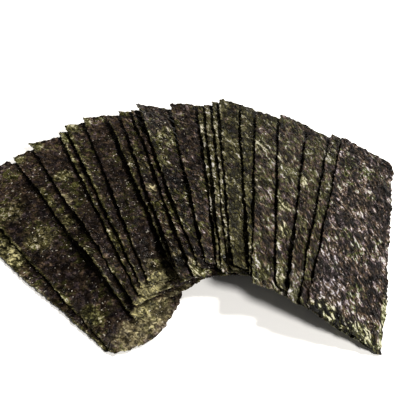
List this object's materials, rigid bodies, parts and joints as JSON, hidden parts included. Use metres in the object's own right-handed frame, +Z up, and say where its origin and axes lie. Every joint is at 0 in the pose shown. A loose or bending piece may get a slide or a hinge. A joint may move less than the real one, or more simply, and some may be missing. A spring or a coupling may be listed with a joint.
{
  "type": "roasted seaweed snack",
  "caption": "Fanned stack of thin, wavy roasted seaweed snack sheets, each leaning on the sheet to its left.",
  "frame": {"origin": "on the table, under the middle of the fan's box", "axes": "+Z up; +X to the right along the fan's longest side, from the lowest sheet to the topmost; +Y towards the sheets' far ends"},
  "size_m": [0.2118, 0.1406, 0.02],
  "materials": {
    "laver": "dark brown-green dried laver with an oily sheen, olive and tan flecks and paler thin patches"
  },
  "bodies": {
    "root": {"sheet_01": "laver", "sheet_02": "laver", "sheet_03": "laver", "sheet_04": "laver", "sheet_05": "laver", "sheet_06": "laver", "sheet_07": "laver", "sheet_08": "laver", "sheet_09": "laver", "sheet_10": "laver", "sheet_11": "laver", "sheet_12": "laver", "sheet_13": "laver", "sheet_14": "laver", "sheet_15": "laver", "sheet_16": "laver", "sheet_17": "laver", "sheet_18": "laver", "sheet_19": "laver", "sheet_20": "laver", "sheet_21": "laver", "sheet_22": "laver"}
  },
  "joints": []
}
